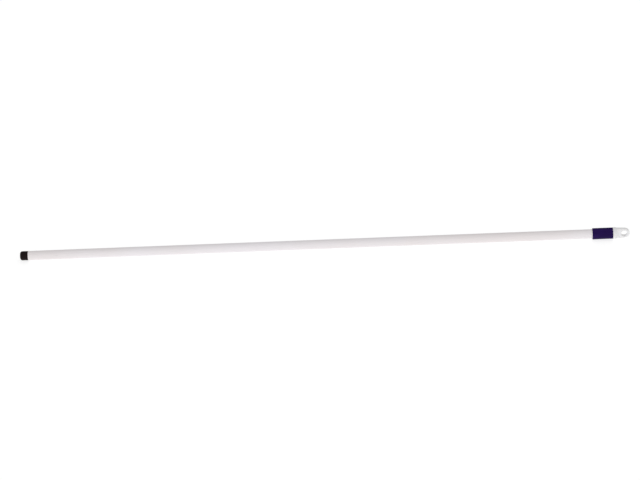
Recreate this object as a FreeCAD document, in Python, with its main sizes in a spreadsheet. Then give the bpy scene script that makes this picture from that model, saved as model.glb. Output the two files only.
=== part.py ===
import FreeCAD, Part
import os
import Sketcher

# A telescopic white cane, pushed fully in, with its twist lock closed.
#
# +X runs along the pole from the tip to the hanging eye and +Z is up. The origin lies under the
# middle of the pole, on the surface that it rests on. All sizes are in millimetres. A station is
# a distance along the pole from the end of the tip.

DIMENSIONS = [
    ("cane_length", 1440, "overall length, pushed fully in"),
    ("slide_travel", 300, "how far the inner tube pulls out"),
    ("outer_dia", 22, "outer tube, outside"),
    ("outer_wall", 1, "outer tube, wall"),
    ("seat_step", 0.2, "outer tube, depth its end is turned down to seat the collar"),
    ("inner_dia", 18, "inner tube, outside"),
    ("inner_wall", 1, "inner tube, wall"),
    ("seat_gap", 0.05, "radial gap of a piece seated in another"),
    ("run_gap", 0.08, "gap of a running fit"),
    ("body_gap", 0.3, "gap between pieces that move apart"),
    ("lead_in", 1, "chamfer of an end that is pushed into another piece"),
    ("tip_inset", 0.1, "how far the tip's side lies inside the outer tube's"),
    ("tip_length", 19, "tip, the part that shows"),
    ("tip_round", 5.5, "tip, rounding of its end"),
    ("stem_dia", 12, "tip, stem"),
    ("stem_length", 30, "tip, stem"),
    ("insert_length", 34, "tip insert"),
    ("collar_wall", 2.4, "collar, wall around the outer tube"),
    ("collar_length", 48, "collar"),
    ("collar_cover", 32, "length of outer tube inside the collar"),
    ("collar_edge", 0.4, "collar, chamfer of its ends"),
    ("throat_gap", 0.4, "collar, radial gap around the inner tube"),
    ("bush_length", 25, "guide bush, the part inside the outer tube"),
    ("bush_flange", 1.5, "guide bush, thickness of its flange"),
    ("skirt_proud", 0.5, "hanger cap, how far its skirt stands out past the collar"),
    ("hanger_length", 39.3, "hanger cap, the part that shows"),
    ("skirt_length", 6.5, "hanger cap, its round part"),
    ("shoulder_length", 3, "hanger cap, from its round part down to the tongue"),
    ("spigot_length", 26, "hanger cap, spigot inside the inner tube"),
    ("tongue_inset", 0.75, "hanger cap, how far the tongue's edges lie inside the skirt"),
    ("tongue_thick", 8, "hanger cap, tongue"),
    ("tongue_round", 2, "hanger cap, rounding of the tongue's edges"),
    ("eye_dia", 15, "hanger cap, eye"),
    ("eye_round", 1, "hanger cap, rounding of the eye"),
    ("plug_length", 22, "lock plug, the part inside the inner tube"),
    ("plug_flange", 2, "lock plug, thickness of its flange"),
    ("pin_dia", 2.5, "cross pin"),
    ("pin_short", 0.2, "how far each end of the cross pin stays inside the inner tube"),
    ("washer_thick", 1, "thrust washer"),
    ("washer_dia", 15, "thrust washer"),
    ("shank_dia", 6, "spindle, plain shank"),
    ("shank_reach", 20, "spindle, shank beyond the lock cage"),
    ("thread_dia", 7, "spindle, thread"),
    ("thread_edge", 0.5, "spindle, chamfer of its threaded end"),
    ("cage_gap", 0.4, "lock cage, radial gap around its ring"),
    ("cage_ring", 7, "lock cage, length of its ring"),
    ("key_length", 23.5, "lock cage, key bars beyond the ring"),
    ("key_width", 3, "lock cage, key bars"),
    ("key_inner", 5.6, "lock cage, distance of a key bar from the axis"),
    ("key_gap", 0.2, "lock cage, gap between a key bar and the jaw band"),
    ("drag_section", 2, "drag ring, thickness of its section"),
    ("clip_thick", 0.8, "cage clip"),
    ("clip_dia", 10, "cage clip, outside"),
    ("clip_seat", 0.4, "depth of the groove for the cage clip"),
    ("clip_mouth", 4, "cage clip, width of its opening"),
    ("thread_start", 2, "from the lock cage's ring to the start of the thread"),
    ("cone_start", 5, "from the lock cage's ring to the small end of the cone"),
    ("cone_length", 14, "cone"),
    ("cone_small", 9.2, "cone, diameter of its small end"),
    ("cone_slope", 0.25, "cone, rise of its radius per length"),
    ("jaw_start", 4, "from the lock cage's ring to the jaws"),
    ("jaw_length", 14, "jaws"),
    ("jaw_angle", 134, "jaws, degrees that each spans"),
    ("band_place", 5, "from the jaws' narrow end to the middle of the band"),
    ("band_width", 2, "jaw band"),
    ("band_thick", 1, "jaw band"),
    ("band_sink", 0.25, "how far the band lies below the jaws' outside"),
    ("end_washer_dia", 14, "end washer"),
    ("end_washer_thick", 1.5, "end washer"),
    ("screw_dia", 3, "end screw, thread"),
    ("screw_head_dia", 5.5, "end screw, head"),
    ("screw_head_height", 1.7, "end screw, head"),
    ("screw_length", 8, "end screw, thread length"),
    ("socket_width", 2.5, "end screw, hexagon across flats"),
    ("socket_depth", 1.2, "end screw, hexagon"),
]

# Radii and stations that several pieces share, worked out from the sheet.
OUTER_R = "dims.outer_dia / 2"
SEAT_R = f"({OUTER_R} - dims.seat_step)"
OUTER_BORE = "(dims.outer_dia / 2 - dims.outer_wall)"
INNER_R = "dims.inner_dia / 2"
INNER_BORE = "(dims.inner_dia / 2 - dims.inner_wall)"
COLLAR_BORE = f"({SEAT_R} + dims.seat_gap)"
COLLAR_R = f"({COLLAR_BORE} + dims.collar_wall)"
SKIRT_R = f"({COLLAR_R} + dims.skirt_proud)"
TONGUE_R = f"({SKIRT_R} - dims.tongue_inset)"
AXIS_HEIGHT = SKIRT_R
SHANK_R = "dims.shank_dia / 2"
THREAD_R = "dims.thread_dia / 2"
DRAG_R = "dims.drag_section / 2"
DRAG_MIDDLE = f"({OUTER_BORE} - dims.seat_gap - {DRAG_R})"
JAW_R = f"({OUTER_BORE} - dims.seat_gap)"
BAND_R = f"({JAW_R} - dims.band_sink)"
BAND_BORE = f"({BAND_R} - dims.band_thick)"
CAGE_R = f"({OUTER_BORE} - dims.cage_gap)"
KEY_OUTER = f"({BAND_BORE} - dims.key_gap)"
CONE_LARGE_R = "(dims.cone_small / 2 + dims.cone_length * dims.cone_slope)"
EYE_X = f"(dims.hanger_length - {TONGUE_R})"

HANGER_START = "(dims.cane_length - dims.hanger_length)"
COLLAR_START = f"({HANGER_START} - dims.body_gap - dims.collar_length)"
TUBE_END = f"({COLLAR_START} + dims.collar_cover)"
BUSH_START = f"({TUBE_END} - dims.bush_length)"
CAGE_FRONT = f"({BUSH_START} - dims.slide_travel - dims.body_gap)"
CAGE_BACK = f"({CAGE_FRONT} - dims.cage_ring)"
WASHER_START = f"({CAGE_FRONT} + dims.run_gap)"
FLANGE_START = f"({WASHER_START} + dims.washer_thick)"
INNER_START = f"({FLANGE_START} + dims.plug_flange)"
INNER_END = f"({HANGER_START} - dims.seat_gap)"
PIN_STATION = f"({INNER_START} + dims.plug_length / 2)"
SPINDLE_START = f"({CAGE_BACK} - dims.key_length - dims.end_washer_thick / 2)"
CLIP_START = f"({CAGE_BACK} - dims.run_gap - dims.clip_thick)"

doc = FreeCAD.newDocument("white_cane")
sheet = doc.addObject("Spreadsheet::Sheet", "dims")
pieces = []
cuts = []


def fill_sheet():
    """Writes each driving dimension, its note and its alias into the sheet."""
    for row, (alias, value, note) in enumerate(DIMENSIONS, start=1):
        sheet.set(f"A{row}", note)
        sheet.set(f"B{row}", str(value))
        sheet.setAlias(f"B{row}", alias)
    doc.recompute()


def value_of(expression):
    """The number that an expression has now."""
    return float(sheet.evalExpression(str(expression)))


def new_body(name):
    """An empty body whose label names its file."""
    body = doc.addObject("PartDesign::Body", name)
    body.Label = name
    pieces.append(body)
    return body


def new_sketch(body, name, plane):
    """A sketch on one of the body's own origin planes."""
    sketch = body.newObject("Sketcher::SketchObject", name)
    origin_plane = next(each for each in body.Origin.OriginFeatures if each.Role == plane)
    sketch.AttachmentSupport = [(origin_plane, "")]
    sketch.MapMode = "FlatFace"
    return sketch


def bind(sketch, kind, geometry, point, expression):
    """Holds one coordinate of a sketch point at an expression."""
    number = sketch.addConstraint(
        Sketcher.Constraint(kind, -1, 1, geometry, point, value_of(expression)))
    sketch.setExpression(f"Constraints[{number}]", str(expression))


def draw_outline(body, name, plane, corners):
    """A closed sketch of straight edges; each corner is a pair of expressions."""
    sketch = new_sketch(body, name, plane)
    points = [FreeCAD.Vector(value_of(x), value_of(y), 0) for x, y in corners]
    count = len(points)
    for index in range(count):
        sketch.addGeometry(Part.LineSegment(points[index], points[(index + 1) % count]), False)
    for index in range(count):
        sketch.addConstraint(Sketcher.Constraint("Coincident", index, 2, (index + 1) % count, 1))
    for index, (x, y) in enumerate(corners):
        bind(sketch, "DistanceX", index, 1, x)
        bind(sketch, "DistanceY", index, 1, y)
    return sketch


def draw_circle(body, name, plane, centre, radius):
    """A sketch of one circle; centre is a pair of expressions."""
    sketch = new_sketch(body, name, plane)
    middle = FreeCAD.Vector(value_of(centre[0]), value_of(centre[1]), 0)
    circle = Part.Circle(middle, FreeCAD.Vector(0, 0, 1), value_of(radius))
    sketch.addGeometry(circle, False)
    bind(sketch, "DistanceX", 0, 3, centre[0])
    bind(sketch, "DistanceY", 0, 3, centre[1])
    number = sketch.addConstraint(Sketcher.Constraint("Radius", 0, value_of(radius)))
    sketch.setExpression(f"Constraints[{number}]", radius)
    return sketch


def turn(name, corners, angle=None):
    """A body turned about the X axis from an outline of (station, radius) corners."""
    body = new_body(name)
    sketch = draw_outline(body, f"{name}_outline", "XZ_Plane", corners)
    turned = body.newObject("PartDesign::Revolution", f"{name}_turned")
    turned.Profile = sketch
    turned.ReferenceAxis = (sketch, ["H_Axis"])
    turned.Angle = 360
    if angle:
        turned.Midplane = True
        turned.setExpression("Angle", angle)
    doc.recompute()
    return body


def turned_ring(name, length, outer, inner):
    """A plain ring or washer about the X axis."""
    return turn(name, [("0", inner), (length, inner), (length, outer), ("0", outer)])


def pad(body, name, sketch, length, both_ways=False):
    """Pads a sketch out of its plane."""
    padded = body.newObject("PartDesign::Pad", name)
    padded.Profile = sketch
    padded.setExpression("Length", length)
    padded.Midplane = both_ways
    doc.recompute()
    return padded


def pocket_through(body, name, sketch):
    """Cuts a sketch right through the body, both ways from its plane."""
    pocket = body.newObject("PartDesign::Pocket", name)
    pocket.Profile = sketch
    pocket.SideType = "Symmetric"
    pocket.Type = "ThroughAll"
    cuts.append(pocket)
    doc.recompute()
    return pocket


def repeat_opposite(body, feature, axis):
    """Repeats a feature half a turn about X, which is the named axis of its sketch."""
    pattern = body.newObject("PartDesign::PolarPattern", f"{feature.Name}_pair")
    pattern.Originals = [feature]
    pattern.Axis = (feature.Profile[0], [axis])
    pattern.Angle = 360
    pattern.Occurrences = 2
    body.Tip = pattern
    doc.recompute()
    return pattern


def drill_across(body, station, radius):
    """Drills a round hole along Z, right through at a station."""
    name = f"{body.Name}_cross_hole"
    sketch = draw_circle(body, f"{name}_sketch", "XY_Plane", (station, "0"), radius)
    return pocket_through(body, name, sketch)


def ring_edges(body, station, radius):
    """Names of the body's circular edges about X at a station and radius."""
    names = []
    for number, edge in enumerate(body.Shape.Edges, start=1):
        box = edge.BoundBox
        flat = abs(box.XMin - value_of(station)) < 1e-4 and box.XLength < 1e-4
        if flat and abs(box.ZMax - value_of(radius)) < 1e-4:
            names.append(f"Edge{number}")
    return names


def round_edges(body, names, radius):
    """Rounds edges of the body by a radius."""
    base = body.Tip
    rounded = body.newObject("PartDesign::Fillet", f"{base.Name}_round")
    rounded.Base = (base, names)
    rounded.setExpression("Radius", radius)
    doc.recompute()
    return rounded


def place(body, station, upside_down=False):
    """Puts the body on the pole's axis with its own X origin at a station."""
    if upside_down:
        body.Placement.Rotation = FreeCAD.Rotation(FreeCAD.Vector(1, 0, 0), 180)
    body.setExpression("Placement.Base.x", f"{station} - dims.cane_length / 2")
    body.setExpression("Placement.Base.z", AXIS_HEIGHT)


def make_outer_tube():
    """The long white tube, from the tip's shoulder to inside the collar, where it is narrower."""
    length = f"{TUBE_END} - dims.tip_length"
    seat = f"{COLLAR_START} - dims.body_gap - dims.tip_length"
    tube = turn("outer_tube", [
        ("0", OUTER_BORE),
        ("0", OUTER_R),
        (seat, OUTER_R),
        (seat, SEAT_R),
        (length, SEAT_R),
        (length, OUTER_BORE)])
    place(tube, "dims.tip_length")


def make_tip():
    """The black tip: a rounded end flush with the tube, and a stem inside it."""
    total = "dims.tip_length + dims.stem_length"
    nose = f"({OUTER_R} - dims.tip_inset)"
    stem = "dims.stem_dia / 2"
    tip = turn("tip", [
        ("0", "0"),
        ("0", nose),
        ("dims.tip_length", nose),
        ("dims.tip_length", stem),
        (f"{total} - dims.lead_in", stem),
        (total, f"{stem} - dims.lead_in"),
        (total, "0")])
    round_edges(tip, ring_edges(tip, "0", nose), "dims.tip_round")
    place(tip, "0")


def make_tip_insert():
    """The sleeve pressed into the tube's end, which holds the tip's stem."""
    insert = turned_ring("tip_insert", "dims.insert_length",
                         f"{OUTER_BORE} - dims.seat_gap", "dims.stem_dia / 2 + dims.seat_gap")
    place(insert, "dims.tip_length")


def make_collar():
    """The navy sleeve over the outer tube's end, narrowed to a throat for the inner tube."""
    edge = "dims.collar_edge"
    shoulder = "dims.collar_cover + dims.bush_flange"
    throat = f"{INNER_R} + dims.throat_gap"
    collar = turn("collar", [
        ("0", COLLAR_BORE),
        ("0", f"{COLLAR_R} - {edge}"),
        (edge, COLLAR_R),
        (f"dims.collar_length - {edge}", COLLAR_R),
        ("dims.collar_length", f"{COLLAR_R} - {edge}"),
        ("dims.collar_length", throat),
        (shoulder, throat),
        (shoulder, COLLAR_BORE)])
    place(collar, COLLAR_START)


def make_guide_bush():
    """The flanged bush in the outer tube's mouth, on which the inner tube slides."""
    total = "dims.bush_length + dims.bush_flange"
    bore = f"{INNER_R} + dims.run_gap"
    barrel = f"{OUTER_BORE} - dims.seat_gap"
    bush = turn("guide_bush", [
        ("0", bore),
        ("0", barrel),
        ("dims.bush_length", barrel),
        ("dims.bush_length", SEAT_R),
        (total, SEAT_R),
        (total, bore)])
    place(bush, BUSH_START)


def make_inner_tube():
    """The sliding tube, from the lock plug's flange to the hanger cap's skirt."""
    tube = turned_ring("inner_tube", f"{INNER_END} - {INNER_START}", INNER_R, INNER_BORE)
    drill_across(tube, "dims.plug_length / 2", "dims.pin_dia / 2 + dims.seat_gap")
    place(tube, INNER_START)


def side_edges(body):
    """The edges that lie on the tongue's two flat sides, each with its name."""
    side = value_of("dims.tongue_thick / 2")
    named = [(f"Edge{number}", edge) for number, edge in enumerate(body.Shape.Edges, start=1)]
    return [(name, edge) for name, edge in named
            if edge.BoundBox.YLength < 1e-4 and abs(abs(edge.BoundBox.YMin) - side) < 1e-4]


def make_hanger_cap():
    """The white end cap: a spigot in the inner tube, a round skirt and a flat tongue with an eye."""
    base = "dims.spigot_length"
    spigot = f"{INNER_BORE} - dims.seat_gap"
    skirt_end = f"{base} + dims.skirt_length"
    eye = f"{base} + {EYE_X}"
    cap = turn("hanger_cap", [
        ("0", "0"),
        ("0", f"{spigot} - dims.lead_in"),
        ("dims.lead_in", spigot),
        (base, spigot),
        (base, SKIRT_R),
        (skirt_end, SKIRT_R),
        (eye, TONGUE_R),
        (eye, "0")])
    nose = cap.newObject("PartDesign::AdditiveSphere", "nose")
    nose.setExpression("Radius", TONGUE_R)
    nose.setExpression("Placement.Base.x", eye)
    doc.recompute()
    beyond = f"2 * {SKIRT_R}"
    half_thick = "dims.tongue_thick / 2"
    flat = draw_outline(cap, "flat_section", "XY_Plane", [
        (skirt_end, beyond),
        (skirt_end, SKIRT_R),
        (f"{skirt_end} + dims.shoulder_length", half_thick),
        (f"{eye} + {beyond}", half_thick),
        (f"{eye} + {beyond}", beyond)])
    repeat_opposite(cap, pocket_through(cap, "flat", flat), "H_Axis")
    outline = [name for name, edge in side_edges(cap) if edge.BoundBox.XLength > 1e-3]
    round_edges(cap, outline, "dims.tongue_round")
    hole = draw_circle(cap, "eye_circle", "XZ_Plane", (eye, "0"), "dims.eye_dia / 2")
    pocket_through(cap, "eye", hole)
    radius = value_of("dims.eye_dia / 2")
    rim = [name for name, edge in side_edges(cap)
           if hasattr(edge.Curve, "Radius") and abs(edge.Curve.Radius - radius) < 1e-6]
    round_edges(cap, rim, "dims.eye_round")
    place(cap, f"{HANGER_START} - {base}")


def make_lock_plug():
    """The plug in the inner tube's end, bored for the spindle."""
    barrel = f"{INNER_BORE} - dims.seat_gap"
    bore = f"{SHANK_R} + dims.seat_gap"
    total = "dims.plug_flange + dims.plug_length"
    plug = turn("lock_plug", [
        ("0", bore),
        ("0", INNER_R),
        ("dims.plug_flange", INNER_R),
        ("dims.plug_flange", barrel),
        (total, barrel),
        (total, bore)])
    drill_across(plug, "dims.plug_flange + dims.plug_length / 2",
                 "dims.pin_dia / 2 + dims.seat_gap")
    place(plug, FLANGE_START)


def make_lock_pin():
    """The cross pin through the inner tube, the plug and the spindle."""
    pin = doc.addObject("Part::Cylinder", "lock_pin")
    pin.Label = "lock_pin"
    pin.setExpression("Radius", "dims.pin_dia / 2")
    pin.setExpression("Height", "dims.inner_dia - 2 * dims.pin_short")
    pin.setExpression("Placement.Base.x", f"{PIN_STATION} - dims.cane_length / 2")
    pin.setExpression("Placement.Base.z", f"{AXIS_HEIGHT} - {INNER_R} + dims.pin_short")
    pieces.append(pin)


def make_spindle():
    """The lock's screw: a threaded end, a groove for the clip, and a shank in the plug."""
    thread_end = f"{CAGE_BACK} - dims.thread_start - {SPINDLE_START}"
    clip_start = f"{CLIP_START} - {SPINDLE_START}"
    clip_end = f"{clip_start} + dims.clip_thick"
    groove = f"{SHANK_R} - dims.clip_seat"
    total = f"{CAGE_FRONT} + dims.shank_reach - {SPINDLE_START}"
    screw_hole = "dims.screw_dia / 2 + dims.seat_gap"
    hole_depth = "dims.screw_length + dims.lead_in"
    spindle = turn("spindle", [
        (hole_depth, "0"),
        (hole_depth, screw_hole),
        ("0", screw_hole),
        ("0", f"{THREAD_R} - dims.thread_edge"),
        ("dims.thread_edge", THREAD_R),
        (thread_end, THREAD_R),
        (thread_end, SHANK_R),
        (clip_start, SHANK_R),
        (clip_start, groove),
        (clip_end, groove),
        (clip_end, SHANK_R),
        (total, SHANK_R),
        (total, "0")])
    drill_across(spindle, f"{PIN_STATION} - {SPINDLE_START}", "dims.pin_dia / 2 + dims.seat_gap")
    place(spindle, SPINDLE_START)


def make_thrust_washer():
    """The washer between the lock plug and the lock cage."""
    washer = turned_ring("thrust_washer", "dims.washer_thick",
                         "dims.washer_dia / 2", f"{SHANK_R} + dims.seat_gap")
    place(washer, WASHER_START)


def make_lock_cage():
    """The ring that slides in the bore without turning, with two key bars for the cone."""
    ring_end = "dims.key_length + dims.cage_ring"
    bore = f"{SHANK_R} + dims.run_gap"
    groove = f"{DRAG_MIDDLE} - {DRAG_R} - dims.seat_gap"
    half_groove = f"({DRAG_R} + dims.seat_gap)"
    middle = "(dims.key_length + dims.cage_ring / 2)"
    cage = turn("lock_cage", [
        ("dims.key_length", bore),
        ("dims.key_length", CAGE_R),
        (f"{middle} - {half_groove}", CAGE_R),
        (f"{middle} - {half_groove}", groove),
        (f"{middle} + {half_groove}", groove),
        (f"{middle} + {half_groove}", CAGE_R),
        (ring_end, CAGE_R),
        (ring_end, bore)])
    half_width = "dims.key_width / 2"
    bar = draw_outline(cage, "key_section", "YZ_Plane", [
        ("dims.key_inner", f"-{half_width}"),
        (KEY_OUTER, f"-{half_width}"),
        (KEY_OUTER, half_width),
        ("dims.key_inner", half_width)])
    sink = f"({middle} - {half_groove} - dims.key_length) / 2"
    repeat_opposite(cage, pad(cage, "key_bar", bar, f"dims.key_length + {sink}"), "N_Axis")
    place(cage, f"{CAGE_BACK} - dims.key_length")


def make_drag_ring():
    """The rubber ring in the cage's groove, which drags in the outer tube."""
    ring = doc.addObject("Part::Torus", "drag_ring")
    ring.Label = "drag_ring"
    ring.Placement.Rotation = FreeCAD.Rotation(FreeCAD.Vector(0, 1, 0), 90)
    ring.setExpression("Radius1", DRAG_MIDDLE)
    ring.setExpression("Radius2", DRAG_R)
    station = f"{CAGE_BACK} + dims.cage_ring / 2"
    ring.setExpression("Placement.Base.x", f"{station} - dims.cane_length / 2")
    ring.setExpression("Placement.Base.z", AXIS_HEIGHT)
    pieces.append(ring)


def make_cage_clip():
    """The open clip in the spindle's groove, behind the lock cage."""
    clip = turned_ring("cage_clip", "dims.clip_thick",
                       "dims.clip_dia / 2", f"{SHANK_R} - dims.clip_seat + dims.seat_gap")
    half_mouth = "dims.clip_mouth / 2"
    mouth = draw_outline(clip, "clip_mouth", "YZ_Plane", [
        ("0", f"-{half_mouth}"),
        ("dims.clip_dia", f"-{half_mouth}"),
        ("dims.clip_dia", half_mouth),
        ("0", half_mouth)])
    pocket_through(clip, "clip_opening", mouth)
    place(clip, CLIP_START)


def make_lock_cone():
    """The cone on the spindle's thread, slotted for the key bars."""
    bore = f"{THREAD_R} + dims.run_gap"
    cone = turn("lock_cone", [
        ("0", bore),
        ("0", CONE_LARGE_R),
        ("dims.cone_length", "dims.cone_small / 2"),
        ("dims.cone_length", bore)])
    half_slot = "(dims.key_width / 2 + dims.run_gap)"
    slot = draw_outline(cone, "slot_section", "YZ_Plane", [
        ("dims.key_inner - dims.run_gap", f"-{half_slot}"),
        (CAGE_R, f"-{half_slot}"),
        (CAGE_R, half_slot),
        ("dims.key_inner - dims.run_gap", half_slot)])
    repeat_opposite(cone, pocket_through(cone, "key_slot", slot), "N_Axis")
    place(cone, f"{CAGE_BACK} - dims.cone_start - dims.cone_length")


def make_jaw(name, upside_down):
    """One of the two shoes around the cone, with a groove for the band."""
    jaw_end = "(dims.jaw_start + dims.jaw_length)"
    taper_gap = "(dims.run_gap + dims.cone_small / 2)"
    wide = f"{taper_gap} + ({jaw_end} - dims.cone_start) * dims.cone_slope"
    narrow = f"{taper_gap} + (dims.jaw_start - dims.cone_start) * dims.cone_slope"
    band_middle = "(dims.jaw_length - dims.band_place)"
    half_groove = "(dims.band_width / 2 + 2 * dims.seat_gap)"
    groove = f"{BAND_BORE} - dims.seat_gap"
    jaw = turn(name, [
        ("0", wide),
        ("0", JAW_R),
        (f"{band_middle} - {half_groove}", JAW_R),
        (f"{band_middle} - {half_groove}", groove),
        (f"{band_middle} + {half_groove}", groove),
        (f"{band_middle} + {half_groove}", JAW_R),
        ("dims.jaw_length", JAW_R),
        ("dims.jaw_length", narrow)], angle="dims.jaw_angle")
    place(jaw, f"{CAGE_BACK} - {jaw_end}", upside_down)


def make_jaw_band():
    """The elastic band in the jaws' groove."""
    band = turned_ring("jaw_band", "dims.band_width", BAND_R, BAND_BORE)
    place(band, f"{CAGE_BACK} - dims.jaw_start - dims.band_place - dims.band_width / 2")


def make_end_washer():
    """The washer that closes the spindle's free end."""
    washer = turned_ring("end_washer", "dims.end_washer_thick",
                         "dims.end_washer_dia / 2", "dims.screw_dia / 2 + dims.seat_gap")
    place(washer, f"{SPINDLE_START} - dims.end_washer_thick")


def make_end_screw():
    """The socket screw in the spindle's end."""
    head = "dims.screw_head_height"
    total = f"{head} + dims.end_washer_thick + dims.screw_length"
    screw = turn("end_screw", [
        ("0", "0"),
        ("0", "dims.screw_head_dia / 2"),
        (head, "dims.screw_head_dia / 2"),
        (head, "dims.screw_dia / 2"),
        (total, "dims.screw_dia / 2"),
        (total, "0")])
    half = "dims.socket_width / 2"
    corner = "dims.socket_width / sqrt(3)"
    sketch = draw_outline(screw, "hexagon_sketch", "YZ_Plane", [
        (corner, "0"),
        (f"{corner} / 2", half),
        (f"-{corner} / 2", half),
        (f"-{corner}", "0"),
        (f"-{corner} / 2", f"-{half}"),
        (f"{corner} / 2", f"-{half}")])
    socket = screw.newObject("PartDesign::Pocket", "hexagon")
    socket.Profile = sketch
    socket.Reversed = True
    socket.setExpression("Length", "dims.socket_depth")
    cuts.append(socket)
    doc.recompute()
    place(screw, f"{SPINDLE_START} - dims.end_washer_thick - {head}")


def check_model():
    """Stops at a failed feature, a cut that cut nothing, or a piece that isn't one valid solid."""
    for each in doc.Objects:
        if "Invalid" in each.State or "Error" in each.State:
            raise RuntimeError(f"{each.Label} failed: {each.State}")
    for cut in cuts:
        if cut.Shape.Volume > cut.BaseFeature.Shape.Volume - 1e-3:
            raise RuntimeError(f"{cut.Label} cuts nothing")
    for piece in pieces:
        shape = piece.Shape
        if shape.isNull() or not shape.isValid() or len(shape.Solids) != 1:
            raise RuntimeError(f"{piece.Label} is not one valid solid")


def write_pieces():
    """Writes each piece to its own file."""
    os.makedirs("parts", exist_ok=True)
    for piece in pieces:
        piece.Shape.exportStep(f"parts/{piece.Label}.step")
        print(f"{piece.Label}: {piece.Shape.Volume:.1f} mm3")


fill_sheet()
make_outer_tube()
make_tip()
make_tip_insert()
make_collar()
make_guide_bush()
make_inner_tube()
make_hanger_cap()
make_lock_plug()
make_lock_pin()
make_spindle()
make_thrust_washer()
make_lock_cage()
make_drag_ring()
make_cage_clip()
make_lock_cone()
make_jaw("jaw_upper", upside_down=False)
make_jaw("jaw_lower", upside_down=True)
make_jaw_band()
make_end_washer()
make_end_screw()
doc.recompute()
check_model()
write_pieces()
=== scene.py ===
"""The looks of a white cane: a telescopic pole with a black tip, a navy collar and a white hanger cap.

Sizes are in metres. The pole lies along X, with its tip at the low end.
"""

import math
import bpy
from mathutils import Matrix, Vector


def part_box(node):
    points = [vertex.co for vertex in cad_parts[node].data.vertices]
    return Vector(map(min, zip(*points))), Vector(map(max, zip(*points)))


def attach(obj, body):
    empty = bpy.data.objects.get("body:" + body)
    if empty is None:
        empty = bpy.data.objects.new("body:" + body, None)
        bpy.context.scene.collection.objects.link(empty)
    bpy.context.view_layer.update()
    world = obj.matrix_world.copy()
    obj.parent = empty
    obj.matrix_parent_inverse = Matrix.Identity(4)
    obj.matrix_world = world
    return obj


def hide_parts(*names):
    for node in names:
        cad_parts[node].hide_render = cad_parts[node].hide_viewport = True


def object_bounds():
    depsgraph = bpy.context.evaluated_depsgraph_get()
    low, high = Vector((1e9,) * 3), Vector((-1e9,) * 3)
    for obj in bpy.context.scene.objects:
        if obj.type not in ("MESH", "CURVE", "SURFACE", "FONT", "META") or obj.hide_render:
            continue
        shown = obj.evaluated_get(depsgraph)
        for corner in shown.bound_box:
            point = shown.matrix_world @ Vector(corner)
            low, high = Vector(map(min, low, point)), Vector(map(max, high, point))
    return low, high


bl_info = {
    "name": "White Cane",
    "version": (1, 0, 0),
    "blender": (4, 5, 0),
    "location": "3D View > Sidebar > White Cane",
    "description": "Builds the pieces and finishes of a telescopic white cane around its frame",
    "category": "Object",
}

import bmesh
import bpy
import numpy as np
from bpy.props import FloatProperty, FloatVectorProperty, IntProperty, PointerProperty
from bpy.types import Operator, Panel, PropertyGroup
from mathutils import Quaternion, Vector

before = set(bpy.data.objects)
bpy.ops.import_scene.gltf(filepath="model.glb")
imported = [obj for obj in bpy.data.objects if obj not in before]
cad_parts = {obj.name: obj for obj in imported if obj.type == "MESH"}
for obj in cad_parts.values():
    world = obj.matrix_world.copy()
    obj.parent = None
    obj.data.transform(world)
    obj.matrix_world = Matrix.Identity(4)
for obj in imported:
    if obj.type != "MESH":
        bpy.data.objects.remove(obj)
CAD_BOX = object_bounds()

MM = 0.001
SWEEP_RADIUS = 1.0
MERGE_DISTANCE = 1e-6
RIGHT_ANGLE = math.pi / 2
RELAX_ROUNDS = 6
PROJECT_ROUNDS = 3
SLOPE_STEP = 1e-5
ROUND_STEPS = 7
ROUND_SHARE = 0.499
NOSE_STEPS = 12
BODY_GAP = 0.3 * MM
FLOOR_GLOW = 0.8


# Places that come from the frame

def span(node):
    """Where a node starts and ends along the pole."""
    low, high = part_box(node)
    return low.x, high.x


def radius_of(node):
    """The largest radius of a turned node."""
    low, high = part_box(node)
    middle = axis_height()
    return max(high.y, -low.y, high.z - middle, middle - low.z)


def axis_height():
    """How high the pole's axis lies over the floor."""
    return (CAD_BOX[0].z + CAD_BOX[1].z) / 2


# Sizes and colours

def linear(red, green, blue):
    """A colour given as 0 to 255 on screen, in the linear values that shaders take."""
    shares = [value / 255 for value in (red, green, blue)]
    return tuple(s / 12.92 if s <= 0.04045 else ((s + 0.055) / 1.055) ** 2.4 for s in shares)


def length(name, description, default):
    """A length that a user can change."""
    return FloatProperty(name=name, description=description, default=default, min=0.0,
                         precision=5, subtype="DISTANCE", unit="LENGTH")


def colour(name, description, default):
    """A colour that a user can change."""
    return FloatVectorProperty(name=name, description=description, default=default,
                               min=0.0, max=1.0, size=3, subtype="COLOR")


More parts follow.
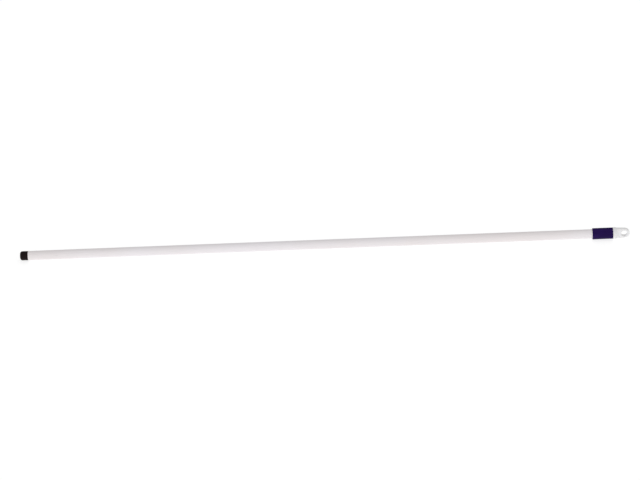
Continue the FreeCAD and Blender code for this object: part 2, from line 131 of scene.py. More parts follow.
class CaneSizes(PropertyGroup):
    """The sizes that the frame's boxes don't give."""
    outer_wall: length("Outer wall", "Wall of the outer tube", 1.0 * MM)
    inner_wall: length("Inner wall", "Wall of the inner tube", 1.0 * MM)
    seat_step: length("Seat step", "Depth of the outer tube's seat in the collar", 0.2 * MM)
    seat_gap: length("Seat gap", "Play between pieces that are fixed together", 0.05 * MM)
    run_gap: length("Running gap", "Play between the inner tube and its bush", 0.08 * MM)
    tube_edge: length("Tube edge", "Rounding of a tube's ends", 0.15 * MM)
    small_edge: length("Small edge", "Rounding of washers and bushes", 0.2 * MM)
    collar_edge: length("Collar edge", "Rounding of the collar's ends", 0.45 * MM)
    collar_cover: length("Collar cover", "Length of the collar over the outer tube", 32.0 * MM)
    throat_gap: length("Throat gap", "Play between the collar's throat and the inner tube", 0.4 * MM)
    bush_flange: length("Bush flange", "Thickness of the guide bush's flange", 1.5 * MM)
    tip_length: length("Tip length", "Length of the tip outside the tube", 19.0 * MM)
    tip_round: length("Tip rounding", "Rounding of the tip's end", 5.5 * MM)
    stem_radius: length("Stem radius", "Radius of the tip's stem", 6.0 * MM)
    stem_lead: length("Stem lead-in", "Chamfer at the end of the tip's stem", 1.0 * MM)
    skirt_length: length("Skirt length", "Length of the hanger cap's round part", 6.5 * MM)
    shoulder_length: length("Shoulder length", "From the cap's round part to its tongue", 3.0 * MM)
    shoulder_foot: length("Shoulder foot", "Fillet between the shoulder and the tongue", 1.6 * MM)
    tongue_thick: length("Tongue thickness", "Thickness of the hanger cap's tongue", 8.0 * MM)
    tongue_inset: length("Tongue inset", "How far the tongue lies inside the skirt", 0.75 * MM)
    tongue_round: length("Tongue rounding", "Rounding of the tongue's edges", 2.0 * MM)
    eye_dia: length("Eye diameter", "Diameter of the hanging eye", 15.0 * MM)
    eye_round: length("Eye rounding", "Rounding of the hanging eye", 1.0 * MM)
    cap_edge: length("Cap edge", "Rounding of the cap's skirt", 0.5 * MM)
    spigot_edge: length("Spigot edge", "Rounding of the cap's spigot", 0.8 * MM)
    skin_grain: length("Skin grain", "Size of the faces of the hanger cap", 0.42 * MM)
    shank_radius: length("Shank radius", "Radius of the spindle's plain shank", 3.0 * MM)
    screw_radius: length("Screw radius", "Radius of the end screw's thread", 1.5 * MM)
    band_thick: length("Band thickness", "Thickness of the jaws' band", 1.0 * MM)
    band_edge: length("Band edge", "Rounding of the jaws' band", 0.45 * MM)
    drag_section: length("Drag section", "Thickness of the drag ring's section", 2.0 * MM)
    segments: IntProperty(name="Segments", description="Sides of a turned piece",
                          default=128, min=12, max=512)
    edge_steps: IntProperty(name="Edge steps", description="Steps in a rounded edge",
                            default=3, min=1, max=16)


class CaneColours(PropertyGroup):
    """The colours of the finishes."""
    coat: colour("Coat", "Powder coat of the outer tube", linear(240, 236, 239))
    tip: colour("Tip", "Black nylon of the tip", linear(26, 17, 18))
    collar: colour("Collar", "Navy plastic of the collar", linear(30, 10, 69))
    cap: colour("Cap", "White plastic of the hanger cap", linear(238, 238, 240))
    nylon: colour("Nylon", "Natural nylon of bushes and jaws", linear(226, 220, 204))
    grey_nylon: colour("Grey nylon", "Grey nylon of the cage and cone", linear(120, 122, 126))
    aluminium: colour("Aluminium", "Plain aluminium of the inner tube", linear(205, 206, 208))
    steel: colour("Steel", "Zinc-plated steel of pins and screws", linear(190, 190, 186))
    rubber: colour("Rubber", "Black rubber of the drag ring and the band", linear(34, 34, 35))
    floor: colour("Floor", "The plain pale floor", linear(150, 150, 150))


# Node trees

class Wire:
    """A node's output; arithmetic on it adds Math nodes to its tree."""

    def __init__(self, tree, socket):
        self.tree = tree
        self.socket = socket

    def __add__(self, other):
        return self.tree.maths("ADD", self, other)

    def __rsub__(self, other):
        return self.tree.maths("SUBTRACT", other, self)

    def __mul__(self, other):
        return self.tree.maths("MULTIPLY", self, other)

    __radd__ = __add__
    __rmul__ = __mul__


class Tree:
    """A node tree that is written one node at a time."""

    def __init__(self, tree):
        self.tree = tree

    def add(self, kind, settings=None, sockets=None, output=0):
        """Adds a node: its settings first, then its sockets' values or links."""
        node = self.tree.nodes.new(kind)
        for name, value in (settings or {}).items():
            setattr(node, name, value)
        for key, value in (sockets or {}).items():
            self.feed(self.socket(node.inputs, key), value)
        if len(node.outputs) == 0:
            return None
        return Wire(self, self.socket(node.outputs, output))

    def feed(self, socket, value):
        """Gives a socket a link or a value."""
        if isinstance(value, Wire):
            self.tree.links.new(value.socket, socket)
        else:
            socket.default_value = value

    @staticmethod
    def socket(sockets, key):
        """A socket by its number, its identifier or its name."""
        if isinstance(key, int):
            return sockets[key]
        for each in sockets:
            if each.identifier == key:
                return each
        return sockets[key]

    def maths(self, operation, *values):
        """One Math node."""
        return self.add("ShaderNodeMath", {"operation": operation}, dict(enumerate(values)))


class Finish(Tree):
    """A material with one Principled shader, whose patterns lie on Object coordinates."""

    def __init__(self, name):
        self.material = bpy.data.materials.new(name)
        self.material.use_nodes = True
        super().__init__(self.material.node_tree)
        self.tree.nodes.clear()
        self.place = self.add("ShaderNodeTexCoord", output="Object")

    def along(self):
        """The place along the pole."""
        return self.add("ShaderNodeSeparateXYZ", {}, {"Vector": self.place}, output="X")

    def noise(self, grain, detail=2.0, roughness=0.5, stretch=(1, 1, 1)):
        """Noise with grains of about that size, drawn out by stretch along each axis."""
        scale = tuple(1 / (grain * each) for each in stretch)
        place = self.add("ShaderNodeMapping", {}, {"Vector": self.place, "Scale": scale})
        return self.add("ShaderNodeTexNoise", {},
                        {"Vector": place, "Scale": 1.0, "Detail": detail, "Roughness": roughness})

    def pits(self, grain, stretch=(1, 1, 1)):
        """Distance to the nearest of many scattered points."""
        scale = tuple(1 / (grain * each) for each in stretch)
        place = self.add("ShaderNodeMapping", {}, {"Vector": self.place, "Scale": scale})
        return self.add("ShaderNodeTexVoronoi", {}, {"Vector": place, "Scale": 1.0})

    def between(self, value, low, high):
        """0 below low and 1 above high, with a soft step between them."""
        return self.add("ShaderNodeMapRange", {"interpolation_type": "SMOOTHSTEP"},
                        {"Value": value, "From Min": low, "From Max": high})

    def mixed(self, share, first, second):
        """The first colour, turned to the second by share."""
        return self.add("ShaderNodeMix", {"data_type": "RGBA"},
                        {"Factor_Float": share, "A_Color": first, "B_Color": second},
                        output="Result_Color")

    def bump(self, height, depth, under=None):
        """A normal bent by a height from 0 to 1 that stands for a depth in metres."""
        sockets = {"Height": height, "Distance": depth, "Strength": 1.0}
        if under is not None:
            sockets["Normal"] = under
        return self.add("ShaderNodeBump", {}, sockets)

    def shade(self, sockets):
        """Ends the material with its shader."""
        shader = self.add("ShaderNodeBsdfPrincipled", {}, sockets)
        self.add("ShaderNodeOutputMaterial", {}, {"Surface": shader})
        return self.material


def opaque(value):
    """A colour with its alpha."""
    return (value[0], value[1], value[2], 1.0)


def scaled(value, share):
    """A colour made darker or lighter."""
    return (value[0] * share, value[1] * share, value[2] * share, 1.0)


def white_coat(colours):
    """Powder coat: a fine orange peel, a little dulled and scuffed towards the tip."""
    finish = Finish("white_coat")
    peel = finish.noise(1.3 * MM, detail=1.0)
    grain = finish.noise(0.25 * MM, detail=2.0)
    patches = finish.noise(90 * MM, detail=3.0, stretch=(3, 1, 1))
    streaks = finish.noise(6 * MM, detail=6.0, roughness=0.7, stretch=(7, 1, 1))
    scuffs = finish.between(streaks, 0.6, 0.74)
    first = span("outer_tube")[0]
    low_end = finish.between(finish.along(), first + 300 * MM, first)
    marks = scuffs * (0.12 + low_end * 0.5)
    clean = finish.mixed(finish.between(patches, 0.35, 0.65), opaque(colours.coat),
                         (colours.coat[0] * 0.975, colours.coat[1] * 0.955, colours.coat[2] * 0.93, 1.0))
    worn = finish.mixed(marks, clean, scaled(colours.coat, 0.55))
    normal = finish.bump(grain, 0.004 * MM, under=finish.bump(peel, 0.03 * MM))
    return finish.shade({
        "Base Color": worn,
        "Roughness": 0.34 + patches * 0.12 + marks * 0.3,
        "Normal": normal,
        "IOR": 1.5,
        "Coat Weight": 0.15,
        "Coat Roughness": 0.2,
    })


def black_tip(colours):
    """Moulded black nylon, worn pale and rough where it taps the ground."""
    finish = Finish("black_tip")
    texture = finish.pits(0.5 * MM)
    streaks = finish.noise(0.9 * MM, detail=5.0, roughness=0.75, stretch=(1, 3, 1))
    scratches = finish.between(streaks, 0.55, 0.7)
    first = span("tip")[0]
    end = finish.between(finish.along(), first + 5 * MM, first + 0.5 * MM)
    wear = scratches * (0.1 + end * 0.7)
    base = finish.mixed(wear, opaque(colours.tip), scaled(colours.tip, 6.0))
    normal = finish.bump(wear, -0.05 * MM, under=finish.bump(texture, 0.02 * MM))
    return finish.shade({
        "Base Color": base,
        "Roughness": 0.42 + wear * 0.35,
        "Normal": normal,
        "IOR": 1.52,
        "Specular IOR Level": 0.07,
    })


def navy_collar(colours):
    """Navy plastic with a fine spark-eroded grain, rubbed smoother by the hand."""
    finish = Finish("navy_collar")
    grain = finish.noise(0.35 * MM, detail=3.0, roughness=0.6)
    hands = finish.noise(14 * MM, detail=3.0)
    flow = finish.noise(8 * MM, detail=2.0, stretch=(4, 1, 1))
    share = finish.between(flow, 0.3, 0.7)
    base = finish.mixed(share, opaque(colours.collar), scaled(colours.collar, 1.35))
    first, last = span("collar")
    rim = finish.between(finish.along(), last - 1.2 * MM, last)
    foot = finish.between(finish.along(), first + 1.2 * MM, first)
    nicks = finish.between(finish.noise(0.8 * MM, detail=4.0), 0.5, 0.65) * (rim + foot)
    worn = finish.mixed(nicks * 0.35, base, scaled(colours.collar, 4.0))
    return finish.shade({
        "Base Color": worn,
        "Roughness": 0.56 - finish.between(hands, 0.45, 0.7) * 0.12,
        "Normal": finish.bump(grain, 0.02 * MM),
        "IOR": 1.49,
        "Specular IOR Level": 0.07,
    })


def white_cap(colours):
    """Satin white plastic that lets a little light into its thin edges."""
    finish = Finish("white_cap")
    flow = finish.noise(11 * MM, detail=3.0, stretch=(2.5, 1, 1))
    grain = finish.noise(0.3 * MM, detail=2.0)
    base = finish.mixed(finish.between(flow, 0.3, 0.7), opaque(colours.cap),
                        (colours.cap[0] * 0.97, colours.cap[1] * 0.965, colours.cap[2] * 0.95, 1.0))
    streaks = finish.noise(1.5 * MM, detail=6.0, roughness=0.7, stretch=(2, 1, 1))
    marks = finish.between(streaks, 0.62, 0.75)
    return finish.shade({
        "Base Color": finish.mixed(marks * 0.25, base, scaled(colours.cap, 0.6)),
        "Roughness": 0.3 + flow * 0.14,
        "Normal": finish.bump(grain, 0.008 * MM),
        "Subsurface Weight": 0.08,
        "Subsurface Radius": (1.0, 0.9, 0.8),
        "Subsurface Scale": 1.2 * MM,
        "IOR": 1.5,
    })


def moulded(name, base, roughness):
    """Unpainted nylon with flow marks and a fine grain."""
    finish = Finish(name)
    flow = finish.noise(6 * MM, detail=3.0, stretch=(3, 1, 1))
    grain = finish.noise(0.25 * MM, detail=2.0)
    tone = finish.mixed(finish.between(flow, 0.3, 0.7), opaque(base), scaled(base, 0.88))
    return finish.shade({
        "Base Color": tone,
        "Roughness": roughness + flow * 0.15,
        "Normal": finish.bump(grain, 0.01 * MM),
        "IOR": 1.53,
    })


def plain_aluminium(colours):
    """Drawn aluminium tube, with fine lines along its length and dull patches."""
    finish = Finish("plain_aluminium")
    lines = finish.noise(0.35 * MM, detail=3.0, roughness=0.6, stretch=(400, 1, 1))
    patches = finish.noise(25 * MM, detail=4.0, stretch=(3, 1, 1))
    rubs = finish.between(finish.noise(3 * MM, detail=5.0, roughness=0.7, stretch=(12, 1, 1)), 0.58, 0.7)
    tone = finish.mixed(finish.between(patches, 0.35, 0.65), opaque(colours.aluminium),
                        scaled(colours.aluminium, 0.9))
    return finish.shade({
        "Base Color": finish.mixed(rubs * 0.3, tone, scaled(colours.aluminium, 0.7)),
        "Metallic": 1.0,
        "Roughness": 0.27 + lines * 0.16 + patches * 0.1,
        "Normal": finish.bump(lines, 0.006 * MM),
    })


def steel(colours):
    """Zinc-plated steel with a clouded passivation."""
    finish = Finish("steel")
    clouds = finish.noise(4 * MM, detail=4.0)
    grain = finish.noise(0.2 * MM, detail=3.0)
    tone = finish.mixed(finish.between(clouds, 0.35, 0.65), opaque(colours.steel),
                        (colours.steel[0] * 0.9, colours.steel[1] * 0.88, colours.steel[2] * 0.76, 1.0))
    return finish.shade({
        "Base Color": tone,
        "Metallic": 1.0,
        "Roughness": 0.28 + clouds * 0.2,
        "Normal": finish.bump(grain, 0.004 * MM),
    })


def black_rubber(colours):
    """Dull rubber with a bloom of dust."""
    finish = Finish("black_rubber")
    bloom = finish.noise(2.5 * MM, detail=5.0, roughness=0.65)
    grain = finish.noise(0.18 * MM, detail=3.0)
    tone = finish.mixed(finish.between(bloom, 0.4, 0.7) * 0.3, opaque(colours.rubber),
                        scaled(colours.rubber, 3.0))
    return finish.shade({
        "Base Color": tone,
        "Roughness": 0.7 + bloom * 0.2,
        "Normal": finish.bump(grain, 0.015 * MM),
        "IOR": 1.52,
    })


def pale_floor(colours):
    """A plain pale floor, lit a little from within so that it shows no dark corner."""
    finish = Finish("pale_floor")
    mottle = finish.noise(0.15, detail=3.0)
    tone = finish.mixed(mottle * 0.5, opaque(colours.floor), scaled(colours.floor, 0.99))
    return finish.shade({
        "Base Color": tone,
        "Roughness": 0.9,
        "Specular IOR Level": 0.1,
        "Emission Color": (1.0, 1.0, 1.0, 1.0),
        "Emission Strength": FLOOR_GLOW,
    })


MAKERS = {
    "white_coat": white_coat,
    "black_tip": black_tip,
    "navy_collar": navy_collar,
    "white_cap": white_cap,
    "natural_nylon": lambda colours: moulded("natural_nylon", colours.nylon, 0.38),
    "grey_nylon": lambda colours: moulded("grey_nylon", colours.grey_nylon, 0.42),
    "plain_aluminium": plain_aluminium,
    "steel": steel,
    "black_rubber": black_rubber,
    "pale_floor": pale_floor,
}


def finish_for(name):
    """The material of that name, made when it is first asked for."""
    found = bpy.data.materials.get(name)
    if found is not None and found.get("cane_finish"):
        return found
    made = MAKERS[name](bpy.context.scene.cane_colours)
    made.name = name
    made["cane_finish"] = True
    return made


# Meshes

def new_object(name, mesh):
    """An object in the scene, at the origin."""
    made = bpy.data.objects.new(name, mesh)
    bpy.context.scene.collection.objects.link(made)
    return made


def baked(host):
    """The host's mesh with its modifiers worked in, which are then gone from it."""
    graph = bpy.context.evaluated_depsgraph_get()
    mesh = bpy.data.meshes.new_from_object(host.evaluated_get(graph), preserve_all_data_layers=True,
                                           depsgraph=graph)
    host.modifiers.clear()
    old = host.data
    host.data = mesh
    bpy.data.meshes.remove(old)
    return mesh


def turn_outwards(mesh):
    """Merges doubles and points every face outwards."""
    work = bmesh.new()
    work.from_mesh(mesh)
    bmesh.ops.remove_doubles(work, verts=work.verts, dist=MERGE_DISTANCE)
    bmesh.ops.recalc_face_normals(work, faces=work.faces)
    work.to_mesh(mesh)
    work.free()


def fit(piece, body, slot, *nodes):
    """Puts a finished piece on its body, in place of its nodes."""
    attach(piece, body)
    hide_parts(*nodes)


def clothe(node, name):
    """Gives a node that stays as it is its finish."""
    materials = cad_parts[node].data.materials
    materials.clear()
    materials.append(finish_for(name))


def new_tree(name, inputs):
    """An empty geometry tree with the given inputs: (name, socket type) pairs."""
    group = bpy.data.node_groups.new(name, "GeometryNodeTree")
    for label, kind in inputs:
        group.interface.new_socket(label, in_out="INPUT", socket_type=kind)
    group.interface.new_socket("Piece", in_out="OUTPUT", socket_type="NodeSocketGeometry")
    return group


def run_tree(host, group, values):
    """Runs a geometry tree on the host with the given input values."""
    modifier = host.modifiers.new(group.name, "NODES")
    modifier.node_group = group
    for item in group.interface.items_tree:
        if item.in_out == "INPUT" and item.name in values:
            modifier[item.identifier] = values[item.name]
    return modifier


def turned_tree():
    """A tree that rounds an outline's corners and sweeps it round the pole's axis."""
    found = bpy.data.node_groups.get("Turned piece")
    if found is not None:
        return found
    group = new_tree("Turned piece", [
        ("Outline", "NodeSocketGeometry"),
        ("Edge radius", "NodeSocketFloat"),
        ("Edge steps", "NodeSocketInt"),
        ("Segments", "NodeSocketInt"),
        ("Axis height", "NodeSocketFloat"),
        ("Finish", "NodeSocketMaterial")])
    tree = Tree(group)
    given = group.nodes.new("NodeGroupInput")
    wires = {each.name: Wire(tree, each) for each in given.outputs if each.name}
    outline = tree.add("GeometryNodeMeshToCurve", {}, {"Mesh": wires["Outline"]})
    rounded = tree.add("GeometryNodeFilletCurve", {"mode": "POLY"}, {
        "Curve": outline, "Count": wires["Edge steps"],
        "Radius": wires["Edge radius"], "Limit Radius": True})
    profile = tree.add("GeometryNodeTransform", {}, {
        "Geometry": rounded, "Rotation": (0, 0, -RIGHT_ANGLE),
        "Translation": (-SWEEP_RADIUS, 0, 0)})
    path = tree.add("GeometryNodeCurvePrimitiveCircle", {"mode": "RADIUS"}, {
        "Resolution": wires["Segments"], "Radius": SWEEP_RADIUS})
    swept = tree.add("GeometryNodeCurveToMesh", {}, {"Curve": path, "Profile Curve": profile})
    merged = tree.add("GeometryNodeMergeByDistance", {}, {
        "Geometry": swept, "Distance": MERGE_DISTANCE})
    height = tree.add("ShaderNodeCombineXYZ", {}, {"Z": wires["Axis height"]})
    laid = tree.add("GeometryNodeTransform", {}, {
        "Geometry": merged, "Rotation": (0, RIGHT_ANGLE, 0), "Translation": height})
    smooth = tree.add("GeometryNodeSetShadeSmooth", {}, {"Geometry": laid})
    real = tree.add("GeometryNodeRealizeInstances", {}, {"Geometry": smooth})
    dressed = tree.add("GeometryNodeSetMaterial", {}, {
        "Geometry": real, "Material": wires["Finish"]})
    end = group.nodes.new("NodeGroupOutput")
    group.links.new(dressed.socket, end.inputs["Piece"])
    return group


def turned(name, outline, edge, slot, steps=None, closed=True):
    """A turned piece from its half outline: (place along the pole, radius) pairs."""
    sizes = bpy.context.scene.cane_sizes
    count = len(outline)
    edges = [(index, index + 1) for index in range(count - 1)]
    if closed:
        edges.append((count - 1, 0))
    mesh = bpy.data.meshes.new(name)
    mesh.from_pydata([(x, r, 0.0) for x, r in outline], edges, [])
    piece = new_object(name, mesh)
    run_tree(piece, turned_tree(), {
        "Edge radius": edge,
        "Edge steps": sizes.edge_steps if steps is None else steps,
        "Segments": sizes.segments,
        "Axis height": axis_height(),
        "Finish": finish_for(slot)})
    turn_outwards(baked(piece))
    shading = piece.modifiers.new("Weighted Normal", "WEIGHTED_NORMAL")
    shading.mode = "FACE_AREA"
    shading.weight = 100
    baked(piece)
    return piece


def ring(name, node, wall, edge, slot, steps=None):
    """A plain ring in place of a node, from its box and its wall."""
    first, last = span(node)
    outside = radius_of(node)
    outline = [(first, outside), (last, outside), (last, outside - wall), (first, outside - wall)]
    return turned(name, outline, edge, slot, steps)


# Pieces

def build_outer_tube(sizes):
    """The long white tube, a little narrower inside the collar."""
    first, last = span("outer_tube")
    seat = span("collar")[0] - BODY_GAP
    outside = radius_of("outer_tube")
    bore = outside - sizes.outer_wall
    narrow = outside - sizes.seat_step
    tube = turned("outer_tube_coated", [
        (first, outside),
        (seat, outside),
        (seat, narrow),
        (last, narrow),
        (last, bore),
        (first, bore)], sizes.tube_edge, "white_coat")
    fit(tube, "outer", "white_coat", "outer_tube")


def build_tip(sizes):
    """The black tip with its stem, and the sleeve that holds the stem."""
    first, last = span("tip")
    outside = radius_of("tip")
    shoulder = first + sizes.tip_length
    corner = sizes.tip_round
    outline = [(first, 0.0)]
    for step in range(NOSE_STEPS, -1, -1):
        angle = RIGHT_ANGLE * step / NOSE_STEPS
        outline.append((first + corner * (1 - math.sin(angle)), outside - corner * (1 - math.cos(angle))))
    outline += [
        (shoulder, outside),
        (shoulder, sizes.stem_radius),
        (last - sizes.stem_lead, sizes.stem_radius),
        (last, sizes.stem_radius - sizes.stem_lead),
        (last, 0.0)]
    tip = turned("tip_moulded", outline, sizes.small_edge, "black_tip", closed=False)
    fit(tip, "outer", "black_tip", "tip")
    wall = radius_of("tip_insert") - sizes.stem_radius - sizes.seat_gap
    insert = ring("tip_insert_sleeve", "tip_insert", wall, sizes.small_edge, "natural_nylon")
    fit(insert, "outer", "natural_nylon", "tip_insert")


def build_collar(sizes):
    """The navy collar and the guide bush that it holds in the outer tube's mouth."""
    first, last = span("collar")
    outside = radius_of("collar")
    seat = radius_of("outer_tube") - sizes.seat_step + sizes.seat_gap
    throat = radius_of("inner_tube") + sizes.throat_gap
    inside = first + sizes.collar_cover + sizes.bush_flange
    collar = turned("collar_moulded", [
        (first, seat),
        (first, outside),
        (last, outside),
        (last, throat),
        (inside, throat),
        (inside, seat)], sizes.collar_edge, "navy_collar")
    fit(collar, "outer", "navy_collar", "collar")
    start, end = span("guide_bush")
    bore = radius_of("inner_tube") + sizes.run_gap
    barrel = radius_of("outer_tube") - sizes.outer_wall - sizes.seat_gap
    flange = radius_of("guide_bush")
    bush = turned("guide_bush_moulded", [
        (start, bore),
        (start, barrel),
        (end - sizes.bush_flange, barrel),
        (end - sizes.bush_flange, flange),
        (end, flange),
        (end, bore)], sizes.small_edge, "natural_nylon")
    fit(bush, "outer", "natural_nylon", "guide_bush")


def build_inner_tube(sizes):
    """The sliding aluminium tube."""
    tube = ring("inner_tube_drawn", "inner_tube", sizes.inner_wall, sizes.tube_edge, "plain_aluminium")
    fit(tube, "inner", "plain_aluminium", "inner_tube")


def rounded_cut(first, second, radius):
    """Where both solids are, with the edge between them rounded."""
    corner = np.hypot(np.maximum(first + radius, 0), np.maximum(second + radius, 0))
    return np.minimum(-radius, np.maximum(first, second)) + corner


def rounded_join(first, second, radius):
    """Both solids together, with the corner between them filled."""
    corner = np.hypot(np.maximum(radius - first, 0), np.maximum(radius - second, 0))
    return np.maximum(radius, np.minimum(first, second)) - corner


def hanger_distance(points, sizes):
    """How far points lie outside the hanger cap: spigot, skirt, tongue and eye."""
    start, end = span("hanger_cap")
    skirt_start = span("inner_tube")[1] + sizes.seat_gap
    skirt_radius = radius_of("hanger_cap")
    nose_radius = skirt_radius - sizes.tongue_inset
    x = points[:, 0] - skirt_start
    y = np.abs(points[:, 1])
    z = points[:, 2] - axis_height()
    from_axis = np.hypot(y, z)
    eye = end - skirt_start - nose_radius
    taper = np.clip((x - sizes.skirt_length) / (eye - sizes.skirt_length), 0, 1) * sizes.tongue_inset
    turned_side = np.where(x > eye, np.sqrt((x - eye) ** 2 + from_axis ** 2) - nose_radius,
                           from_axis - skirt_radius + taper)
    fall = skirt_radius - sizes.tongue_thick / 2
    slant = math.hypot(fall, sizes.shoulder_length)
    shoulder = ((x - sizes.skirt_length) * fall + (y - skirt_radius) * sizes.shoulder_length) / slant
    web = rounded_join(shoulder, y - sizes.tongue_thick / 2, sizes.shoulder_foot)
    body = rounded_cut(turned_side, web, sizes.tongue_round)
    body = rounded_cut(body, -x, sizes.cap_edge)
    hole = sizes.eye_dia / 2 - np.hypot(x - eye, z)
    body = rounded_cut(body, hole, sizes.eye_round)
    spigot_radius = radius_of("inner_tube") - sizes.inner_wall - sizes.seat_gap
    spigot = rounded_cut(from_axis - spigot_radius, start - skirt_start - x, sizes.spigot_edge)
    spigot = np.maximum(spigot, x - sizes.skirt_length / 2)
    return np.minimum(body, spigot)


def settle(points, edges, sizes):
    """Evens out the points and lays them exactly on the hanger cap's surface."""
    here = edges.ravel()
    there = edges[:, ::-1].ravel()
    count = np.bincount(here, minlength=len(points))
    for _ in range(RELAX_ROUNDS):
        around = [np.bincount(here, points[there, axis], len(points)) / count for axis in range(3)]
        points = (points + np.stack(around, axis=1)) / 2
        for _ in range(PROJECT_ROUNDS):
            points = pulled_in(points, sizes)
    return points


def pulled_in(points, sizes):
    """Points moved along the slope of the distance by what they are off the surface."""
    off = hanger_distance(points, sizes)
    slope = np.zeros_like(points)
    for axis in range(3):
        step = np.zeros(3)
        step[axis] = SLOPE_STEP
        slope[:, axis] = hanger_distance(points + step, sizes) - hanger_distance(points - step, sizes)
    slope /= 2 * SLOPE_STEP
    size = np.maximum((slope ** 2).sum(axis=1), 0.25)
    return points - slope * (off / size)[:, None]


def build_hanger(sizes):
    """The white hanger cap, with soft moulded edges and a filled foot under its tongue."""
    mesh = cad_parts["hanger_cap"].data.copy()
    mesh.materials.clear()
    mesh.materials.append(finish_for("white_cap"))
    turn_outwards(mesh)
    cap = new_object("hanger_cap_moulded", mesh)
    skin = cap.modifiers.new("Skin", "REMESH")
    skin.mode = "VOXEL"
    skin.voxel_size = sizes.skin_grain
    skin.use_smooth_shade = True
    mesh = baked(cap)
    points = np.empty(len(mesh.vertices) * 3)
    mesh.vertices.foreach_get("co", points)
    edges = np.empty(len(mesh.edges) * 2, dtype=np.int32)
    mesh.edges.foreach_get("vertices", edges)
    points = settle(points.reshape(-1, 3), edges.reshape(-1, 2), sizes)
    mesh.vertices.foreach_set("co", points.ravel())
    mesh.shade_smooth()
    mesh.update()
    fit(cap, "inner", "white_cap", "hanger_cap")


def build_lock_rings(sizes):
    """The lock's washers, its drag ring and the band around its jaws."""
    wall = radius_of("thrust_washer") - sizes.shank_radius - sizes.seat_gap
    washer = ring("thrust_washer_pressed", "thrust_washer", wall, sizes.small_edge, "steel")
    fit(washer, "inner", "steel", "thrust_washer")
    wall = radius_of("end_washer") - sizes.screw_radius - sizes.seat_gap
    washer = ring("end_washer_pressed", "end_washer", wall, sizes.small_edge, "steel")
    fit(washer, "inner", "steel", "end_washer")
    section = sizes.drag_section
    edge = section * ROUND_SHARE
    drag = ring("drag_ring_moulded", "drag_ring", section, edge, "black_rubber", ROUND_STEPS)
    fit(drag, "carriage", "black_rubber", "drag_ring")
    band = ring("jaw_band_moulded", "jaw_band", sizes.band_thick, sizes.band_edge, "black_rubber")
    fit(band, "carriage", "black_rubber", "jaw_band")


def build_lock(sizes):
    """The twist lock inside the pole."""
    build_lock_rings(sizes)
    for node, name in {
            "lock_plug": "natural_nylon", "jaw_upper": "natural_nylon", "jaw_lower": "natural_nylon",
            "lock_cage": "grey_nylon", "lock_cone": "grey_nylon", "lock_pin": "steel",
            "spindle": "steel", "cage_clip": "steel", "end_screw": "steel"}.items():
        clothe(node, name)


# Stage

CAMERA_DISTANCE = 7.0
CAMERA_AZIMUTH = math.radians(2.0)
CAMERA_ELEVATION = math.radians(35.0)
CAMERA_ROLL = math.radians(-3.36)
LENS = 166.82
SENSOR = 36.0
IMAGE_WIDTH = 640
CENTRE_RIGHT = 3.8
CENTRE_DOWN = 4.4
WORLD_STRENGTH = 0.74
WORLD_FALL = 0.24
WORLD_FALL_START = -0.3
WORLD_FALL_END = 0.9
FLOOR_HALF = 9.0

# Each soft panel: its name, place, width and height, power and tint.
LIGHTS = (
    ("front_panel", (-0.2, -2.6, 0.9), (3.0, 1.2), 7.0, (1.0, 0.985, 0.98)),
    ("top_panel", (0.2, 0.6, 3.0), (2.5, 2.5), 3.0, (0.98, 0.985, 1.0)),
)


def aim(thing, target):
    """Turns a camera or light towards a point."""
    thing.rotation_mode = "QUATERNION"
    thing.rotation_quaternion = (target - thing.location).to_track_quat("-Z", "Y")


def build_floor():
    """A plain pale floor under the cane."""
    mesh = bpy.data.meshes.new("floor")
    low = CAD_BOX[0].z
    corners = [(x * FLOOR_HALF, y * FLOOR_HALF, low) for x, y in ((-1, -1), (1, -1), (1, 1), (-1, 1))]
    mesh.from_pydata(corners, [], [(0, 1, 2, 3)])
    mesh.materials.append(finish_for("pale_floor"))
    floor = new_object("floor", mesh)


def build_light(name, place, target, size, power, tint):
    """A soft panel of light."""
    lamp = bpy.data.lights.new(name, "AREA")
    lamp.shape = "RECTANGLE"
    lamp.size, lamp.size_y = size
    lamp.energy = power
    lamp.color = tint
    holder = new_object(name, lamp)
    holder.location = place
    aim(holder, target)


def build_world():
    """A soft surround that gives less light from behind, and looks white to the camera."""
    world = bpy.data.worlds.new("surround")
    world.use_nodes = True
    world.node_tree.nodes.clear()
    tree = Tree(world.node_tree)
    direction = tree.add("ShaderNodeTexCoord", output="Generated")
    backwards = tree.add("ShaderNodeSeparateXYZ", {}, {"Vector": direction}, output="Y")
    behind = tree.add("ShaderNodeMapRange", {"interpolation_type": "SMOOTHSTEP"},
                      {"Value": backwards, "From Min": WORLD_FALL_START, "From Max": WORLD_FALL_END})
    light = WORLD_STRENGTH - behind * WORLD_FALL
    seen = tree.add("ShaderNodeLightPath", output="Is Camera Ray")
    strength = light + seen * (1.0 - light)
    shown = tree.add("ShaderNodeBackground", {}, {"Color": (1.0, 1.0, 1.0, 1.0), "Strength": strength})
    tree.add("ShaderNodeOutputWorld", {}, {"Surface": shown})
    bpy.context.scene.world = world


def build_camera():
    """The camera, in front and above, rolled a little."""
    lens = bpy.data.cameras.new("camera")
    lens.lens = LENS
    lens.sensor_width = SENSOR
    lens.clip_end = 100.0
    camera = new_object("camera", lens)
    low, high = CAD_BOX
    middle = (low + high) / 2
    azimuth, elevation = CAMERA_AZIMUTH, CAMERA_ELEVATION
    back = Vector((math.sin(azimuth) * math.cos(elevation),
                   -math.cos(azimuth) * math.cos(elevation), math.sin(elevation)))
    right = Vector((math.cos(azimuth), math.sin(azimuth), 0.0))
    up = back.cross(right)
    step = SENSOR / IMAGE_WIDTH / LENS * CAMERA_DISTANCE
    target = middle - right * CENTRE_RIGHT * step + up * CENTRE_DOWN * step
    camera.location = target + back * CAMERA_DISTANCE
    aim(camera, target)
    camera.rotation_quaternion = camera.rotation_quaternion @ Quaternion((0.0, 0.0, 1.0), CAMERA_ROLL)
    bpy.context.scene.camera = camera


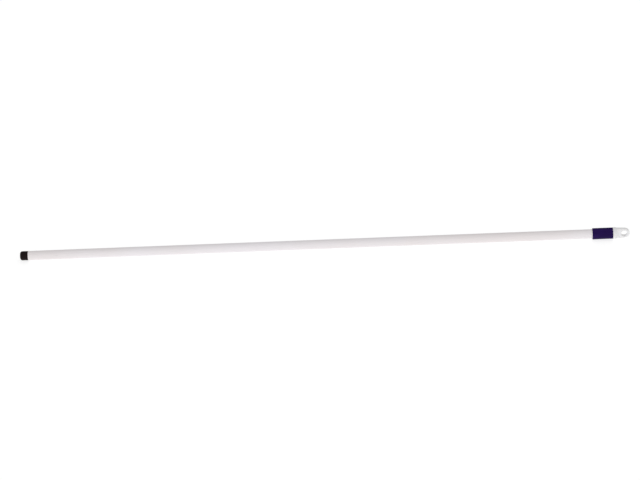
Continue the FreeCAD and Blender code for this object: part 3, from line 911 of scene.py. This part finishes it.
def build_stage():
    """Floor, lights, surround and camera."""
    build_floor()
    build_world()
    low, high = CAD_BOX
    middle = (low + high) / 2
    for name, place, size, power, tint in LIGHTS:
        build_light(name, Vector(place), middle, size, power, tint)
    build_camera()
    bpy.context.scene.view_settings.view_transform = "Standard"


# Operators and panel

class CANE_OT_outer_tube(Operator):
    """Builds the coated outer tube"""
    bl_idname = "cane.outer_tube"
    bl_label = "Outer Tube"
    bl_options = {"REGISTER", "UNDO"}

    def execute(self, context):
        build_outer_tube(context.scene.cane_sizes)
        return {"FINISHED"}


class CANE_OT_tip(Operator):
    """Builds the tip and the sleeve that holds it"""
    bl_idname = "cane.tip"
    bl_label = "Tip"
    bl_options = {"REGISTER", "UNDO"}

    def execute(self, context):
        build_tip(context.scene.cane_sizes)
        return {"FINISHED"}


class CANE_OT_collar(Operator):
    """Builds the collar and the guide bush"""
    bl_idname = "cane.collar"
    bl_label = "Collar"
    bl_options = {"REGISTER", "UNDO"}

    def execute(self, context):
        build_collar(context.scene.cane_sizes)
        return {"FINISHED"}


class CANE_OT_inner_tube(Operator):
    """Builds the sliding inner tube"""
    bl_idname = "cane.inner_tube"
    bl_label = "Inner Tube"
    bl_options = {"REGISTER", "UNDO"}

    def execute(self, context):
        build_inner_tube(context.scene.cane_sizes)
        return {"FINISHED"}


class CANE_OT_hanger_cap(Operator):
    """Builds the hanger cap"""
    bl_idname = "cane.hanger_cap"
    bl_label = "Hanger Cap"
    bl_options = {"REGISTER", "UNDO"}

    def execute(self, context):
        build_hanger(context.scene.cane_sizes)
        return {"FINISHED"}


class CANE_OT_lock(Operator):
    """Builds the twist lock inside the pole"""
    bl_idname = "cane.lock"
    bl_label = "Twist Lock"
    bl_options = {"REGISTER", "UNDO"}

    def execute(self, context):
        build_lock(context.scene.cane_sizes)
        return {"FINISHED"}


class CANE_OT_stage(Operator):
    """Builds the floor, the lights and the camera"""
    bl_idname = "cane.stage"
    bl_label = "Stage"
    bl_options = {"REGISTER", "UNDO"}

    def execute(self, context):
        build_stage()
        return {"FINISHED"}


OPERATORS = (
    CANE_OT_outer_tube,
    CANE_OT_tip,
    CANE_OT_collar,
    CANE_OT_inner_tube,
    CANE_OT_hanger_cap,
    CANE_OT_lock,
    CANE_OT_stage,
)


class CANE_PT_sidebar(Panel):
    """The cane's sizes, colours and build steps"""
    bl_idname = "CANE_PT_sidebar"
    bl_label = "White Cane"
    bl_space_type = "VIEW_3D"
    bl_region_type = "UI"
    bl_category = "White Cane"

    def draw(self, context):
        layout = self.layout
        for group in (context.scene.cane_sizes, context.scene.cane_colours):
            column = layout.column(align=True)
            for name in group.bl_rna.properties.keys():
                if name not in ("rna_type", "name"):
                    column.prop(group, name)
        steps = layout.column(align=True)
        for operator in OPERATORS:
            steps.operator(operator.bl_idname)


CLASSES = (CaneSizes, CaneColours, *OPERATORS, CANE_PT_sidebar)


def register():
    """Adds the classes and the scene's settings."""
    for each in CLASSES:
        bpy.utils.register_class(each)
    bpy.types.Scene.cane_sizes = PointerProperty(type=CaneSizes)
    bpy.types.Scene.cane_colours = PointerProperty(type=CaneColours)


def unregister():
    """Takes them away again."""
    del bpy.types.Scene.cane_colours
    del bpy.types.Scene.cane_sizes
    for each in reversed(CLASSES):
        bpy.utils.unregister_class(each)


def main():
    """Registers the add-on and builds everything, one step at a time."""
    register()
    bpy.ops.cane.outer_tube()
    bpy.ops.cane.tip()
    bpy.ops.cane.collar()
    bpy.ops.cane.inner_tube()
    bpy.ops.cane.hanger_cap()
    bpy.ops.cane.lock()
    bpy.ops.cane.stage()


if __name__ == "__main__":
    main()
